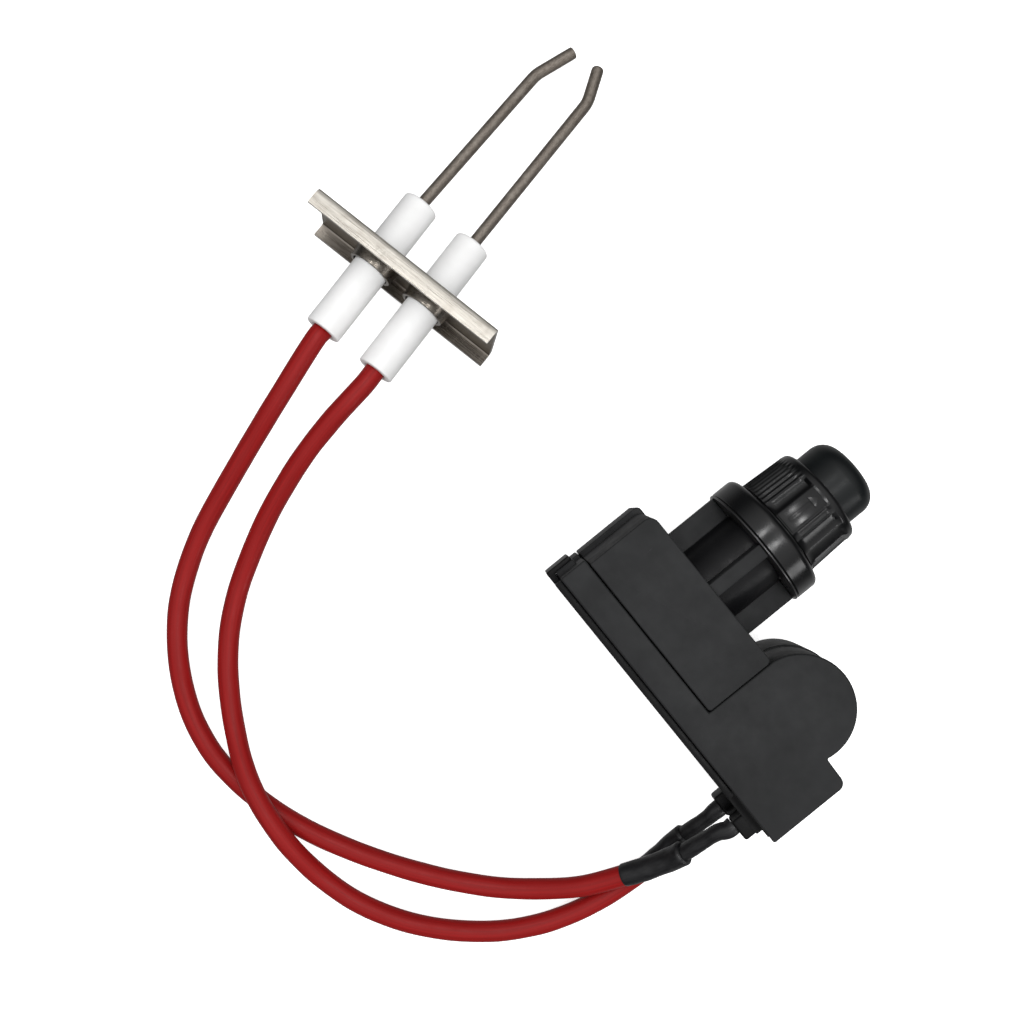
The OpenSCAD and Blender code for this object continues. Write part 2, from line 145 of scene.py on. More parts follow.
def tidy_mesh(obj, smooth_angle=35):
    """Outward normals, smooth faces and sharp edges above an angle."""
    bm = bmesh.new()
    bm.from_mesh(obj.data)
    bmesh.ops.recalc_face_normals(bm, faces=bm.faces)
    bm.to_mesh(obj.data)
    bm.free()
    obj.data.shade_smooth()
    obj.data.set_sharp_from_angle(angle=math.radians(smooth_angle))


def apply_modifiers(obj):
    """Makes the object's modifiers its mesh."""
    graph = bpy.context.evaluated_depsgraph_get()
    mesh = bpy.data.meshes.new_from_object(obj.evaluated_get(graph))
    obj.modifiers.clear()
    obj.data = mesh
    return obj


def bevel(obj, width, segments=3, angle=35):
    """Rounds the edges sharper than an angle in degrees."""
    mod = obj.modifiers.new("bevel", "BEVEL")
    mod.width = width
    mod.segments = segments
    mod.limit_method = "ANGLE"
    mod.angle_limit = math.radians(angle)
    mod.harden_normals = False
    apply_modifiers(obj)
    obj.data.shade_smooth()
    obj.data.set_sharp_from_angle(angle=math.radians(40))
    return obj


def cut(obj, *tools, operation="DIFFERENCE"):
    """Cuts the tools out of obj, or joins them to it, and removes them."""
    for tool in tools:
        mod = obj.modifiers.new("cut", "BOOLEAN")
        mod.solver = "EXACT"
        mod.operation = operation
        mod.object = tool
        apply_modifiers(obj)
        bpy.data.objects.remove(tool)
    return obj


def prism(name, outline, z0, z1, top=None):
    """Closed solid of one outline in X and Y, or of one that changes into another with as many points."""
    n = len(outline)
    verts = [(x, y, z0) for x, y in outline] + [(x, y, z1) for x, y in top or outline]
    sides = [(i, (i + 1) % n, n + (i + 1) % n, n + i) for i in range(n)]
    return add_object(name, verts, [tuple(range(n))[::-1], tuple(range(n, 2 * n))] + sides)


def brick(name, low, high):
    """Box between two corners, to be rounded or joined to another piece."""
    outline = [(low[0], low[1]), (high[0], low[1]), (high[0], high[1]), (low[0], high[1])]
    return prism(name, outline, low[2], high[2])


def arc(centre, radius, start, end, steps=8):
    """Points of an arc in a plane, from one angle to another in degrees."""
    turns = [math.radians(start + (end - start) * i / steps) for i in range(steps + 1)]
    return [(centre[0] + radius * math.cos(a), centre[1] + radius * math.sin(a)) for a in turns]


def rounded_box_outline(x0, y0, x1, y1, radii):
    """Rectangle with its own radius at each corner, from the low corner round to the left."""
    corners = [((x0, y0), (1, 1), 180), ((x1, y0), (-1, 1), 270),
               ((x1, y1), (-1, -1), 0), ((x0, y1), (1, -1), 90)]
    points = []
    for ((x, y), (sx, sy), start), r in zip(corners, radii):
        points += arc((x + sx * r, y + sy * r), r, start, start + 90) if r else [(x, y)]
    return points


def lathe(name, profile, steps=96, shape=None, loop=True, smooth_angle=35):
    """Turns a profile of (radius, y) points about the Y axis. A loop closes on itself.
    shape changes a radius at (radius, y, angle)."""
    verts, rings = [], []
    for r, y in profile:
        if r <= 0:
            rings.append([len(verts)] * steps)
            verts.append((0, y, 0))
            continue
        rings.append(list(range(len(verts), len(verts) + steps)))
        for k in range(steps):
            a = math.tau * k / steps
            rr = shape(r, y, a) if shape else r
            verts.append((rr * math.cos(a), y, rr * math.sin(a)))
    pairs = list(zip(rings, rings[1:])) + ([(rings[-1], rings[0])] if loop else [])
    faces = []
    for low, high in pairs:
        for k in range(steps):
            n = (k + 1) % steps
            corners = dict.fromkeys((low[k], low[n], high[n], high[k]))
            faces.append(tuple(corners))
    return add_object(name, verts, faces, smooth_angle)


def put(obj, *place):
    """Moves an object and brings its matrix up to date, so that it can be used as a cutting tool."""
    obj.matrix_world = Matrix.Translation(place)
    bpy.context.view_layer.update()
    return obj


def on_neck(obj):
    """Puts a lathed object on the neck's axis."""
    return put(obj, 0, 0, NECK_Z)


def plug(name, radius, y0, y1, steps=96):
    """Round bar along Y, as a cutting tool."""
    return lathe(name, [(0, y0), (radius, y0), (radius, y1), (0, y1)], steps, loop=False)


def smooth_path(points, steps=8):
    """Catmull-Rom curve through the points."""
    points = [Vector(p) for p in points]
    ends = [2 * points[0] - points[1]] + points + [2 * points[-1] - points[-2]]
    line = []
    for a, b, c, d in zip(ends, ends[1:], ends[2:], ends[3:]):
        for i in range(steps):
            t = i / steps
            line.append(0.5 * (2 * b + (c - a) * t + (2 * a - 5 * b + 4 * c - d) * t * t
                               + (3 * b - a - 3 * c + d) * t * t * t))
    return line + [points[-1]]


def path_length(path):
    return sum((b - a).length for a, b in zip(path, path[1:]))


def sweep(name, path, radius, sides=28):
    """Closed tube along a path. radius is a number, or a function of the length so far and the angle.
    Its UV map holds the turn and the length in metres."""
    lengths = [0.0]
    for a, b in zip(path, path[1:]):
        lengths.append(lengths[-1] + (b - a).length)
    last = len(path) - 1
    side = None
    verts = []
    for i, p in enumerate(path):
        t = (path[min(i + 1, last)] - path[max(i - 1, 0)]).normalized()
        if side is None:
            side = t.cross(Vector((0, 0, 1))).normalized()
        side = (side - t * side.dot(t)).normalized()
        other = t.cross(side)
        for k in range(sides):
            a = math.tau * k / sides
            r = radius(lengths[i], a) if callable(radius) else radius
            verts.append(p + r * (math.cos(a) * side + math.sin(a) * other))
    faces = []
    for low in range(0, last * sides, sides):
        for k in range(sides):
            n = (k + 1) % sides
            faces.append((low + k, low + n, low + sides + n, low + sides + k))
    faces += [tuple(range(sides))[::-1], tuple(range(last * sides, (last + 1) * sides))]
    obj = add_object(name, verts, faces, 50)
    uv = obj.data.uv_layers.new(name="along")
    for poly in obj.data.polygons:
        turns = [obj.data.loops[i].vertex_index % sides for i in poly.loop_indices]
        wraps = max(turns) - min(turns) > sides / 2
        for loop, turn in zip(poly.loop_indices, turns):
            whole = turn + (sides if wraps and turn < sides / 2 else 0)
            uv.data[loop].uv = (whole / sides, lengths[obj.data.loops[loop].vertex_index // sides])
    return obj


def finish_piece(obj, body, slot, *nodes):
    """Gives a piece its slot's material, the body it rides on and the CAD nodes that it stands for."""
    obj.data.materials.clear()
    obj.data.materials.append(MATERIALS[slot])
    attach(obj, body)
    if nodes:
        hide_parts(*nodes)
    return obj


# ---------------------------------------------------------------- materials

class Look:
    """One procedural material. Its calls add nodes and return their output sockets."""

    def __init__(self, name, colour, roughness, metallic=0.0, **sockets):
        self.material = bpy.data.materials.new(name)
        self.material.use_nodes = True
        self.tree = self.material.node_tree
        self.shader = self.tree.nodes["Principled BSDF"]
        self.shader.inputs["Base Color"].default_value = (*colour, 1)
        self.shader.inputs["Roughness"].default_value = roughness
        self.shader.inputs["Metallic"].default_value = metallic
        for socket, value in sockets.items():
            self.shader.inputs[socket.replace("_", " ")].default_value = value

    def node(self, kind, inputs=None, **settings):
        """Adds a node. Each input is a value, or another node's socket to link."""
        n = self.tree.nodes.new("ShaderNode" + kind)
        for key, value in settings.items():
            setattr(n, key, value)
        for key, value in (inputs or {}).items():
            if isinstance(value, bpy.types.NodeSocket):
                self.tree.links.new(value, n.inputs[key])
            else:
                n.inputs[key].default_value = value
        return n

    def place(self, scale=(1, 1, 1), source="Object"):
        """Coordinates in metres, stretched by scale."""
        where = self.node("TexCoord").outputs[source]
        return self.node("Mapping", {"Vector": where, "Scale": scale}).outputs["Vector"]

    def noise(self, scale, detail=3.0, rough=0.55, where=None, distortion=0.0):
        where = where or self.place()
        return self.node("TexNoise", {"Vector": where, "Scale": scale, "Detail": detail, "Roughness": rough,
                                      "Distortion": distortion}).outputs["Fac"]

    def ramp(self, value, low, high, out_low=0.0, out_high=1.0):
        """Maps a value's range from low to high onto another, and stops at its ends."""
        return self.node("MapRange", {"Value": value, "From Min": low, "From Max": high, "To Min": out_low,
                                      "To Max": out_high}).outputs["Result"]

    def math(self, operation, a, b=0.0):
        return self.node("Math", {0: a, 1: b}, operation=operation).outputs[0]

    def mix(self, factor, a, b):
        n = self.tree.nodes.new("ShaderNodeMix")
        n.data_type = "RGBA"
        for index, value in ((0, factor), (6, a), (7, b)):
            if isinstance(value, bpy.types.NodeSocket):
                self.tree.links.new(value, n.inputs[index])
            elif index == 0:
                n.inputs[0].default_value = value
            else:
                n.inputs[index].default_value = (*value, 1)
        return n.outputs[2]

    def colour(self, socket):
        self.tree.links.new(socket, self.shader.inputs["Base Color"])

    def roughness(self, socket):
        self.tree.links.new(socket, self.shader.inputs["Roughness"])

    def bump(self, height, strength, distance):
        n = self.node("Bump", {"Height": height, "Strength": strength, "Distance": distance})
        self.tree.links.new(n.outputs["Normal"], self.shader.inputs["Normal"])


def moulded_plastic(name, colour, roughness, grain=0.12, blotch=0.25, wear=0.0, level=0.4):
    """Moulded black plastic: a fine spark-eroded grain, soft blotches and a few pale scuffs."""
    look = Look(name, colour, roughness, Specular_IOR_Level=level)
    light = tuple(min(1, c * (1 + blotch)) for c in colour)
    dark = tuple(c * (1 - blotch) for c in colour)
    soft = look.noise(90, 4)
    shade = look.mix(look.ramp(soft, 0.3, 0.7), dark, light)
    if wear:
        rub = look.noise(260, 6, 0.7, look.place((1, 0.25, 1)), 1.5)
        spot = look.math("MULTIPLY", look.ramp(rub, 0.66, 0.78), wear)
        shade = look.mix(spot, shade, tuple(0.05 + c * 2.2 for c in colour))
    look.colour(shade)
    look.roughness(look.ramp(look.noise(420, 3), 0.3, 0.7, roughness - 0.05, roughness + 0.07))
    look.bump(look.noise(5200, 2), grain, 0.00004)
    return look.material


def silicone(name):
    """Red silicone rubber with a faint drawn streak and a dusty skin."""
    look = Look(name, (0.27, 0.007, 0.007), 0.42, Specular_IOR_Level=0.16)
    streaks = look.noise(3, 4, 0.6, look.place((9, 14, 1), "UV"))
    body = look.mix(look.ramp(streaks, 0.3, 0.7), (0.22, 0.006, 0.006), (0.31, 0.008, 0.008))
    dust = look.ramp(look.noise(1500, 5, 0.7), 0.62, 0.8, 0, 0.25)
    look.colour(look.mix(dust, body, (0.42, 0.05, 0.045)))
    look.roughness(look.ramp(look.noise(300, 4), 0.3, 0.7, 0.36, 0.52))
    look.bump(look.noise(1800, 4, 0.6), 0.18, 0.00006)
    return look.material


def shrink_tube(name):
    """Heat-shrink tube: black, satin, with fine lengthwise wrinkles."""
    look = Look(name, (0.008, 0.008, 0.009), 0.36, Specular_IOR_Level=0.28)
    wrinkle = look.noise(5, 5, 0.6, look.place((5, 90, 1), "UV"), 0.4)
    look.colour(look.mix(look.ramp(wrinkle, 0.35, 0.7), (0.006, 0.006, 0.007), (0.014, 0.014, 0.015)))
    look.roughness(look.ramp(look.noise(700, 3), 0.3, 0.7, 0.28, 0.48))
    look.bump(wrinkle, 0.35, 0.0002)
    return look.material


def glazed_ceramic(name):
    """White alumina: satin, with faint grey clouds and a few pin marks."""
    look = Look(name, (0.86, 0.86, 0.85), 0.38, Specular_IOR_Level=0.4)
    cloud = look.noise(160, 5, 0.55)
    white = look.mix(look.ramp(cloud, 0.35, 0.72), (0.905, 0.905, 0.902), (0.84, 0.838, 0.833))
    specks = look.ramp(look.noise(2600, 2), 0.74, 0.80, 0, 0.35)
    look.colour(look.mix(specks, white, (0.55, 0.52, 0.47)))
    look.roughness(look.ramp(look.noise(500, 3), 0.3, 0.7, 0.32, 0.50))
    look.bump(look.noise(2200, 3), 0.10, 0.00005)
    return look.material


def rolled_steel(name):
    """Stainless sheet: rolling lines along X, cross scratches and brown stains, with painted shade darkening
    it below its top fold.
    """
    look = Look(name, (0.55, 0.52, 0.48), 0.30, metallic=1.0)
    lines = look.noise(1, 6, 0.65, look.place((120, 5200, 5200)))
    stains = look.noise(190, 5, 0.6, distortion=0.8)
    # Painted shade: below the top fold the sheet is mixed towards a dark brown, with a ragged edge from the
    # stains.
    height = look.node("SeparateXYZ", {"Vector": look.place()}).outputs["Z"]
    ragged = look.math("ADD", height, look.math("MULTIPLY", stains, 0.003))
    painted_shade_below_fold = look.ramp(ragged, 0.0082, 0.0100, 0.72, 0.0)
    base = look.mix(look.ramp(lines, 0.3, 0.72), (0.31, 0.285, 0.25), (0.66, 0.63, 0.575))
    stained = look.mix(look.ramp(stains, 0.50, 0.70, 0, 0.5), base, (0.26, 0.22, 0.18))
    look.colour(look.mix(painted_shade_below_fold, stained, (0.10, 0.082, 0.066)))
    scratch = look.ramp(look.noise(1, 3, 0.6, look.place((2600, 240, 240)), 0.3), 0.60, 0.66)
    satin = look.ramp(lines, 0.25, 0.75, 0.20, 0.42)
    look.roughness(look.math("ADD", satin, look.math("MULTIPLY", scratch, 0.2)))
    look.bump(look.math("ADD", lines, look.math("MULTIPLY", scratch, 0.8)), 0.25, 0.00003)
    return look.material


def drawn_rod(name):
    """Heat-darkened electrode wire: brown-grey oxide with lengthwise drawing marks."""
    look = Look(name, (0.20, 0.17, 0.14), 0.46, metallic=0.85)
    marks = look.noise(2, 6, 0.65, look.place((18, 700, 1), "UV"))
    patches = look.noise(420, 5, 0.6)
    base = look.mix(look.ramp(marks, 0.3, 0.7), (0.12, 0.10, 0.082), (0.26, 0.23, 0.20))
    look.colour(look.mix(look.ramp(patches, 0.52, 0.72, 0, 0.5), base, (0.36, 0.33, 0.29)))
    look.roughness(look.ramp(patches, 0.3, 0.7, 0.40, 0.58))
    look.bump(marks, 0.3, 0.00004)
    return look.material


def bare_metal(name, colour, roughness=0.3):
    """Inner metal parts: one colour with fine clouding."""
    look = Look(name, colour, roughness, metallic=1.0)
    fine = look.noise(1400, 5, 0.6)
    darker = tuple(c * 0.75 for c in colour)
    look.colour(look.mix(look.ramp(fine, 0.3, 0.7), darker, colour))
    look.roughness(look.ramp(look.noise(600, 3), 0.3, 0.7, roughness - 0.06, roughness + 0.10))
    look.bump(fine, 0.15, 0.00003)
    return look.material


def plain_solid(name, colour, roughness=0.5):
    """Inner parts: one colour with a little variation and a fine surface."""
    scale = 900
    look = Look(name, colour, roughness)
    darker = tuple(c * 0.8 for c in colour)
    look.colour(look.mix(look.ramp(look.noise(scale, 4), 0.3, 0.7), darker, colour))
    look.roughness(look.ramp(look.noise(scale / 2, 3), 0.3, 0.7, roughness - 0.08, roughness + 0.08))
    look.bump(look.noise(scale * 4, 2), 0.1, 0.00003)
    return look.material


# Colour, roughness, and what differs from the usual grain, blotches, scuffs and gloss.
MOULDED = {
    "case_plastic": ((0.0175, 0.018, 0.0188), 0.55, {"wear": 0.35, "level": 0.17}),
    # The neck tube's plastic is the case plastic painted darker, as shade in the recesses between the fins.
    "neck_plastic_painted_shade": ((0.005, 0.005, 0.0056), 0.36, {"grain": 0.3, "blotch": 0.5, "level": 0.15}),
    "cover_plastic": ((0.0035, 0.0035, 0.0038), 0.4, {"grain": 0.3, "blotch": 0.4, "level": 0.12}),
    "cap_plastic": ((0.004, 0.0042, 0.0046), 0.2, {"grain": 0.03, "blotch": 0.2, "level": 0.3}),
    "button_plastic": ((0.0055, 0.0068, 0.0073), 0.34, {"grain": 0.06, "level": 0.2}),
    "washer_rubber": ((0.010, 0.010, 0.0105), 0.30, {"grain": 0.1, "level": 0.5}),
}
MATERIALS = {
    **{name: moulded_plastic(name, colour, rough, **rest) for name, (colour, rough, rest) in MOULDED.items()},
    "red_silicone": silicone("red_silicone"),
    "heat_shrink": shrink_tube("heat_shrink"),
    "ceramic": glazed_ceramic("ceramic"),
    "stainless_sheet": rolled_steel("stainless_sheet"),
    "electrode_rod": drawn_rod("electrode_rod"),
    "contact_metal": bare_metal("contact_metal", (0.78, 0.58, 0.26)),
    "spring_steel": bare_metal("spring_steel", (0.66, 0.66, 0.66)),
    "crimp_metal": bare_metal("crimp_metal", (0.62, 0.61, 0.58)),
    "copper_wire": bare_metal("copper_wire", (0.60, 0.26, 0.10), 0.35),
    "cell_jacket": bare_metal("cell_jacket", (0.45, 0.46, 0.48), 0.32),
    "ferrite": plain_solid("ferrite", (0.035, 0.035, 0.038), 0.6),
    "nylon": plain_solid("nylon", (0.62, 0.58, 0.46), 0.5),
    "board": plain_solid("board", (0.36, 0.25, 0.10), 0.45),
    "component_body": plain_solid("component_body", (0.30, 0.08, 0.03), 0.4),
}


def paint_cad_nodes():
    """Every CAD node takes the material of its own slot; pieces may replace it later."""
    for part in frame["record"]["subparts"]:
        node = frame["nodes"][part["node"]]
        node.data.materials.clear()
        node.data.materials.append(MATERIALS[part["material_slot"]])


paint_cad_nodes()


# ---------------------------------------------------------------- leads and their sleeves

LEAD_R = 1.95 * MM


def lead_end(side, points):
    """The route's last points, in the insulator's own line: millimetres behind its back end."""
    return [on_insulator(side) @ Vector((0, CERAMIC_BACK - u * MM, 0)) for u in points]


# Lead A runs from the inner post to the right-hand insulator, and lead B from the outer post to the other.
ROUTE_A = [mm(*p) for p in (
    (34.9, -24.6, 3.9), (35.3, -27.6, 3), (35.6, -31.4, 2.3), (35.5, -35.4, 2), (34.8, -41.6, 2),
    (33.3, -48.2, 2), (30.7, -54.8, 2), (26.8, -61.3, 2), (21.4, -67.5, 2), (14.8, -73.1, 2), (6.8, -77.5, 2),
    (-1.3, -79.7, 2.8), (-9.2, -80.1, 4.9), (-16, -79.6, 6.1), (-22.5, -78.6, 5.9), (-27.7, -77.2, 4.7),
    (-33, -75.1, 3.1), (-38.6, -72.1, 2.2), (-44, -68.3, 2), (-49, -63.7, 2), (-53.5, -58, 2.3),
    (-57, -51.8, 3.5), (-60.2, -45, 5.4), (-62.7, -37.8, 7.8), (-64.6, -30.9, 9.9), (-65.8, -24.6, 11.3),
    (-66.5, -19.8, 12.1))
] + lead_end(1, (3, 0, -2))
ROUTE_B = [mm(*p) for p in (
    (35, -26, 10.4), (34.4, -29.6, 8.5), (33, -35, 6.3), (30, -42.6, 4.7), (25.6, -49.6, 3),
    (20.3, -55.9, 2.2), (14, -61.6, 2), (7, -66.8, 2), (0, -71.3, 2), (-7.7, -75.4, 2), (-15, -78.4, 2),
    (-22, -80.3, 2), (-27.5, -81.1, 2), (-33, -81.2, 2), (-39, -80.2, 2), (-44.7, -78.2, 2),
    (-50.1, -75.3, 2), (-54.9, -71.8, 2), (-59.2, -67.6, 2), (-63.2, -62.1, 2.2), (-66.6, -55.5, 3.4),
    (-69.5, -47.4, 5.5), (-72.3, -38.5, 8.2), (-75, -29.6, 10.8))
] + lead_end(-1, (3, 0, -2))
SPLICE_A = [mm(*p) for p in ((34.4, -21.3, 5.5), (34.8, -24, 4.2), (35.3, -27.6, 3), (35.6, -31.4, 2.3))]
SPLICE_B = [mm(*p) for p in ((35.2, -23.2, 12), (35, -26, 10.4), (34.4, -29.6, 8.5), (33, -35, 6.3))]
TAIL_A = [mm(*p) for p in ((33.8, -13.1, 8.5), (33.8, -14.4, 8.5), (34, -16, 8.1), (34.1, -18.4, 7.2),
                           (34.5, -22.2, 5.1))]
TAIL_B = [mm(*p) for p in ((35.6, -13.1, 16.5), (35.6, -14.4, 16.5), (35, -16.2, 15.9), (35, -19, 14.4),
                           (35.2, -24, 11.6))]


def uneven(point_scale, amount, seed):
    """A small smooth wobble of radius along a tube, as a function of length and angle."""
    def wobble(length, angle):
        where = Vector((math.cos(angle), math.sin(angle), length / point_scale + seed))
        return amount * noise.noise(where)
    return wobble


def make_lead(name, route, node, seed):
    """Silicone lead from its splice to inside its insulator."""
    path = smooth_path(route)
    wobble = uneven(6 * MM, 0.06 * MM, seed)
    lead = sweep(name, path, lambda s, a: LEAD_R + wobble(s, a), sides=32)
    finish_piece(lead, "igniter", "red_silicone", node)


def make_splice(name, route, node, seed, shoulder, swell):
    """Shrunk tube over the joint of a tail and a lead, cut square, with a shoulder swollen at the tail."""
    path = smooth_path(route, 14)
    total = path_length(path)
    wobble = uneven(2.5 * MM, 0.14 * MM, seed)

    def radius(s, a):
        t = s / total
        grow = min(1, t / shoulder)
        bulge = swell * math.exp(-((t - shoulder) / 0.12) ** 2)
        return (1.8 + 0.36 * grow * grow * (3 - 2 * grow) + bulge) * MM + wobble(s, a)

    sleeve = sweep(name, path, radius, sides=32)
    return finish_piece(bevel(sleeve, 0.14 * MM, 2, 60), "igniter", "heat_shrink", node)


def make_tail(name, route, node, seed):
    """Thin sleeve from a boot to a splice, with a waist where it has shrunk onto the wire."""
    path = smooth_path(route, 12)
    total = path_length(path)
    wobble = uneven(1.6 * MM, 0.08 * MM, seed)

    def radius(s, a):
        t = s / total
        mouth = 0.06 * math.exp(-(t / 0.2) ** 2)
        return (1.6 + mouth - 0.16 * math.exp(-((t - 0.42) / 0.2) ** 2)) * MM + wobble(s, a)

    return finish_piece(sweep(name, path, radius, sides=28), "igniter", "heat_shrink", node)


def make_cords():
    sleeves = [make_splice("splice_a", SPLICE_A, "splice_sleeve_a", 3, 0.04, 0),
               make_tail("tail_a", TAIL_A, "tail_sleeve_a", 5)]
    make_lead("red_lead_a", ROUTE_A, "lead_a", 23)
    sleeves = [make_splice("splice_b", SPLICE_B, "splice_sleeve_b", 11, 0.03, 0.16),
               make_tail("tail_b", TAIL_B, "tail_sleeve_b", 17)]
    make_lead("red_lead_b", ROUTE_B, "lead_b", 31)


make_cords()


# ---------------------------------------------------------------- case

BLOCK_X1 = 15.55 * MM
BLOCK_Y0 = -3.95 * MM
SEAM = 0.2 * MM
LOBE_R = 9.5 * MM
LOBE = (BLOCK_X1 + SEAM + LOBE_R, 8.6 * MM)
FOOT_Y = 6.5 * MM
WALL = 1.6 * MM
SPLIT_Z = front_lo.z


def case_outline(x0, lobe_r):
    """Outline of a shell: the strip beside the block, the round housing and the foot."""
    x1, y0 = case_hi.x, case_lo.y
    meet = math.degrees(math.asin((FOOT_Y - LOBE[1]) / lobe_r))
    left = (BLOCK_X1 + SEAM, BLOCK_Y0 - SEAM)
    corner, heel = 1.5 * MM, 0.4 * MM
    points = [(x0, y0)] + arc((x1 - heel, y0 + heel), heel, 270, 360, 4)
    points += arc((x1 - corner, FOOT_Y - corner), corner, 0, 90)
    points += [(max(x, left[0]), y) for x, y in arc(LOBE, lobe_r, meet + 1, 180, 44)]
    return points + [left, (x0, left[1])]


def inner_outline(x0):
    """The room inside a shell, open towards the base cover and the block."""
    x0, x1 = x0 + WALL, case_hi.x - WALL
    y0 = case_lo.y - WALL
    r = LOBE_R - WALL
    meet = math.degrees(math.asin((FOOT_Y - WALL - LOBE[1]) / r))
    left = BLOCK_X1 - WALL
    return ([(x0, y0), (x1, y0), (x1, FOOT_Y - WALL)] + arc(LOBE, r, meet, 180, 36)
            + [(left, LOBE[1]), (left, BLOCK_Y0 + WALL), (x0, BLOCK_Y0 + WALL)])


def make_shells():
    front = prism("case_front", case_outline(front_lo.x, LOBE_R + 0.1 * MM), SPLIT_Z, front_hi.z)
    cut(front, prism("room", inner_outline(front_lo.x), SPLIT_Z - WALL, front_hi.z - WALL))
    bevel(front, 0.42 * MM, 4)
    lug = brick("lug", (front_lo.x - 1.05 * MM, case_lo.y, SPLIT_Z + 0.1 * MM),
                (front_lo.x + 1.5 * MM, case_lo.y + 3.9 * MM, SPLIT_Z + 6.5 * MM))
    cut(front, bevel(lug, 0.25 * MM, 3), operation="UNION")
    tidy_mesh(front)
    finish_piece(front, "igniter", "case_plastic", "front_shell")
    rear = prism("case_rear", case_outline(case_lo.x, LOBE_R + 0.4 * MM), case_lo.z, case_hi.z)
    cut(rear, prism("room", inner_outline(case_lo.x), case_lo.z + WALL, case_hi.z + WALL))
    finish_piece(bevel(rear, 0.3 * MM, 4), "igniter", "case_plastic", "rear_shell")


def block_outline(x0, corner):
    """Outline of the battery block, rounded at the near front corner."""
    return rounded_box_outline(x0, BLOCK_Y0, BLOCK_X1, FRONT_Y + 0.25 * MM,
                               (0.25 * MM, 0.6 * MM, 0.9 * MM, corner))


def make_neck():
    """Neck tube, with the room for the cell and its groove cut into it, and four fins."""
    root = FRONT_Y - MM
    profile = [(0, root), (NECK_FOOT_R, root), (NECK_FOOT_R, FIN_END), (NECK_R, FIN_END),
               (NECK_R, NECK_END - 0.6 * MM), (NECK_R - 0.5 * MM, NECK_END), (0, NECK_END)]
    tube = on_neck(lathe("neck", profile, loop=False))
    finish_piece(cut(tube, *cell_room()), "igniter", "case_plastic")
    # Painted shade: the tube between the fins takes a darker copy of the case plastic.
    tube.data.materials[0] = MATERIALS["neck_plastic_painted_shade"]
    half, reach = 1.3 * MM, 11.45 * MM
    fins = []
    for x, z in ((half, reach), (reach, half)):
        fin = brick("fin", (-x, root, NECK_Z - z), (x, FIN_END - 0.02 * MM, NECK_Z + z))
        fins.append(bevel(fin, 0.25 * MM, 2))
    return fins


def cell_room():
    """The bore for the cell and the groove for its contact strip, as cutting tools."""
    back, end = case_lo.y - MM, NECK_END + MM
    bore = on_neck(plug("bore", CELL_BORE_R, back, end))
    slot = 1.7 * MM
    return bore, brick("groove", (5 * MM, back, NECK_Z - slot), (6.8 * MM, end, NECK_Z + slot))


def make_battery_block():
    """Battery block, fins and neck are one moulding. Its upper half leans back at the near end."""
    near = block_lo.x
    lower = prism("battery_block", block_outline(near, 0.9 * MM), block_lo.z, SPLIT_Z)
    bevel(lower, 0.3 * MM, 3)
    upper = prism("upper", block_outline(near + 0.9 * MM, 1.8 * MM), SPLIT_Z - MM, block_hi.z,
                  block_outline(near + 1.95 * MM, 1.8 * MM))
    bevel(upper, 0.35 * MM, 3)
    fins = make_neck()
    inner = on_neck(plug("inner", 6.5 * MM, case_lo.y + 0.1 * MM, 0))
    cut(lower, upper, inner, *fins, operation="UNION")
    throat = on_neck(plug("throat", 7.2 * MM, FRONT_Y - 2 * MM, NECK_END + MM))
    cut(lower, throat, *cell_room())
    tidy_mesh(lower)
    finish_piece(lower, "igniter", "case_plastic", "battery_body")


def make_thread():
    """Rounded thread ridge on the neck, right-handed, with faded ends."""
    pitch, turns, steps = 2.2 * MM, 2.6, 40
    start, r = FIN_END + 0.7 * MM, 7.25 * MM
    path = []
    for i in range(int(turns * steps) + 1):
        a = -math.tau * i / steps
        path.append(Vector((r * math.cos(a), start + pitch * i / steps, NECK_Z + r * math.sin(a))))
    total = path_length(path)

    def radius(s, a):
        return 0.42 * MM * min(1, 0.1 + 8 * min(s, total - s) / total)

    finish_piece(sweep("neck_thread", path, radius, sides=10), "igniter", "case_plastic")


def make_base_cover():
    """Cover over the back of the case: a latch hooks round the near end, and above the boots it is cut
    down to a liner inside the shells."""
    low, high = cover_lo, cover_hi
    plate_y = case_lo.y - 0.04 * MM
    plate = brick("base_plate", (front_lo.x + 0.3 * MM, low.y, low.z), (high.x, plate_y, high.z))
    bevel(plate, 0.22 * MM, 2)
    z0, z1 = 7 * MM, 18 * MM
    bridge = brick("bridge", (low.x, low.y, z0), (low.x + 3.4 * MM, plate_y, z1))
    hook = brick("hook", (low.x, low.y, z0), (low.x + 1.12 * MM, high.y, z1))
    cut(plate, bevel(bridge, 0.3 * MM, 3), bevel(hook, 0.3 * MM, 3), operation="UNION")
    shelf = LOW_BOOT[0].x - 1.6 * MM
    over = HIGH_BOOT[1].z + 0.3 * MM
    cut(plate, brick("open", (shelf, low.y - MM, over), (high.x + MM, plate_y + MM, high.z + MM)))
    gap = 0.12 * MM
    for a, b in (LOW_BOOT, HIGH_BOOT):
        room = brick("room", (a.x - gap, low.y - MM, a.z - gap), (b.x + gap, plate_y + MM, b.z + gap))
        cut(plate, room)
    web = brick("web", (HIGH_BOOT[0].x - 0.4 * MM, HIGH_BOOT[0].y + 0.4 * MM, LOW_BOOT[1].z - 0.6 * MM),
                (LOW_BOOT[1].x + 0.9 * MM, plate_y - 0.4 * MM, HIGH_BOOT[0].z + 0.6 * MM))
    liner = brick("liner", (shelf - 0.8 * MM, plate_y - 0.15 * MM, over - 0.15 * MM),
                  (front_hi.x - 1.2 * MM, case_lo.y + MM, front_hi.z - 1.2 * MM))
    cut(plate, bevel(web, 0.2 * MM, 2), liner, operation="UNION")
    tidy_mesh(plate)
    finish_piece(plate, "igniter", "cover_plastic", "base_cover")


